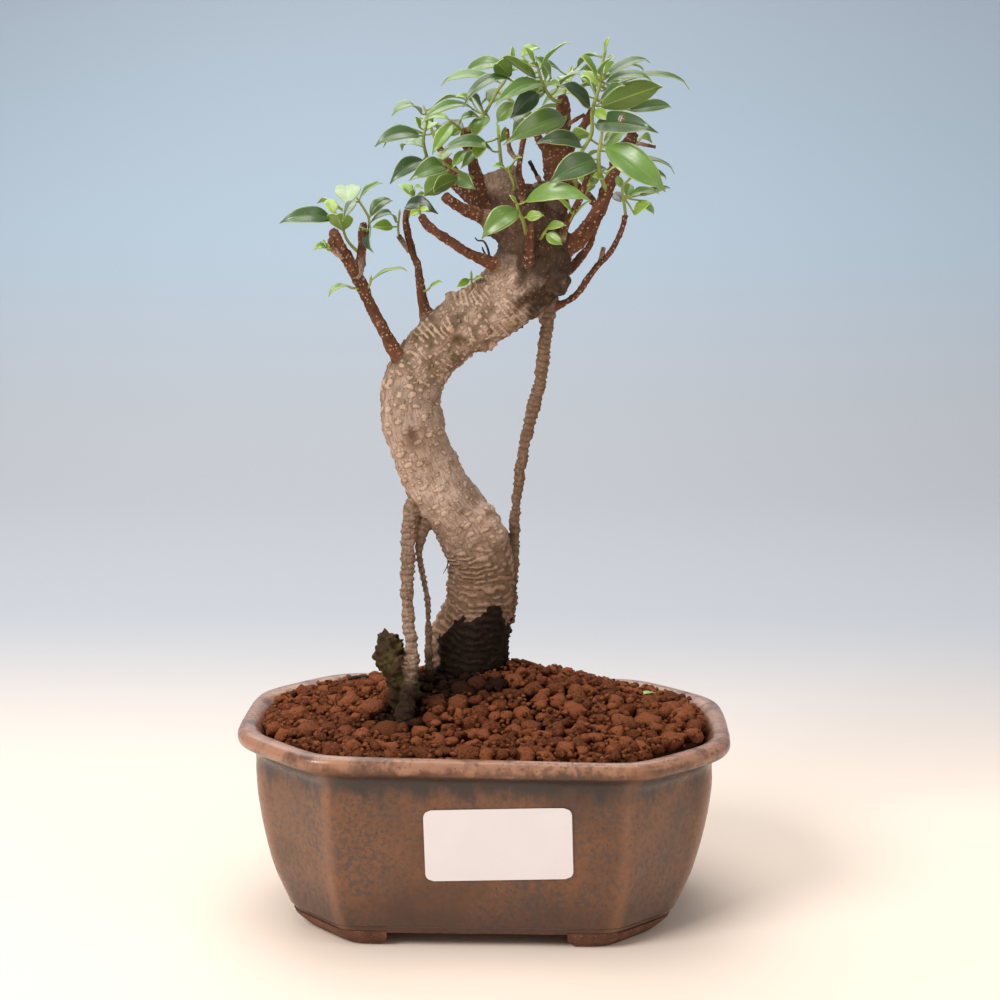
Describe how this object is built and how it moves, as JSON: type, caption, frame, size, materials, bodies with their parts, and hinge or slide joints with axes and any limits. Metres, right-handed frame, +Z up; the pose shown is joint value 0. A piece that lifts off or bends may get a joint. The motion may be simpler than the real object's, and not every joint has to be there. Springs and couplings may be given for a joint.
{
  "type": "kimmen ficus bonsai in its pot",
  "caption": "Small indoor fig bonsai with an S-shaped trunk, aerial roots and glossy leaves, in a low glazed pot on feet.",
  "frame": {"origin": "under the middle of the pot, on the surface that it stands on", "axes": "+Z up, +X along the pot, -Y to the front where the label is"},
  "size_m": [0.157, 0.108, 0.2737],
  "materials": {
    "glaze": "satin",
    "paper": "matte",
    "granule": "matte",
    "leaf": "satin",
    "dead_wood": "matte",
    "bark": "matte"
  },
  "bodies": {
    "root": {"pot": "glaze", "label": "paper", "soil": "granule", "fallen_leaf": "leaf", "dead_twig": "dead_wood", "trunk": "bark", "tuftLeft": "leaf", "tuftInner": "leaf", "stubBud": "leaf", "lowLeft": "leaf", "lowRight": "leaf", "sideSprig": "leaf", "backArmTip": "leaf", "backArmLeaf": "leaf", "frontArmTip": "leaf", "archSprout": "leaf", "leftLow": "leaf", "leftHigh": "leaf", "leftKnob": "leaf", "leftSide": "leaf", "upright": "leaf", "stumpShoot": "leaf", "front": "leaf", "frontLow": "leaf", "centre": "leaf", "rightMain": "leaf", "rightFront": "leaf", "longTip": "leaf", "thinArmSide": "leaf", "thinArmTop": "leaf", "topLeft": "leaf", "topMiddle": "leaf", "backTop": "leaf", "backMiddle": "leaf", "backRight": "leaf", "backLeft": "leaf", "backOuter": "leaf"}
  },
  "joints": []
}
